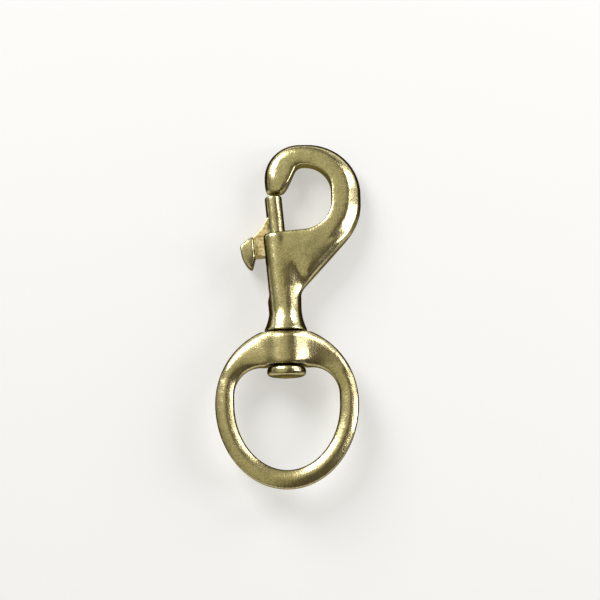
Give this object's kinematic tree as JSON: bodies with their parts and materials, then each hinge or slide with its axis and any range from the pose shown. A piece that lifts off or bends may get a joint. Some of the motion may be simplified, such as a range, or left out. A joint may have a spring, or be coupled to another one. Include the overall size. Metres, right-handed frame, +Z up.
{
  "type": "bolt snap",
  "caption": "Cast brass swivel-eye bolt snap: a hook closed by a sprung sliding bolt with a thumb pad, above a D-shaped eye that turns on its shank.",
  "frame": {"origin": "on the surface that the snap lies on, under the middle of its outline", "axes": "+Y along the snap from the eye to the hook, +X from the thumb side to the hook's far side, +Z up out of its face"},
  "size_m": [0.037, 0.0866, 0.0116],
  "materials": {
    "cast_brass": "polished",
    "bolt_brass": "polished",
    "eye_brass": "polished",
    "spring_steel": "drawn wire"
  },
  "bodies": {
    "hook": {"hook_body": "cast_brass", "bolt_spring": "spring_steel"},
    "bolt": {"bolt": "bolt_brass"},
    "eye": {"swivel_eye": "eye_brass"}
  },
  "joints": [
    {"name": "bolt_slide", "type": "slide", "parent": "hook", "child": "bolt", "axis": [0.0854, -0.9945, 0.0599], "range_m": [0, 0.0093], "stiffness_N_per_m": 700, "springref_m": -0.0085, "deforming": ["bolt_spring"]},
    {"name": "eye_swivel", "type": "hinge", "parent": "hook", "child": "eye", "pos_m": [-0.00082, -0.0044, 0.00557], "axis": [0, 0.9982, -0.0601], "continuous": true}
  ]
}
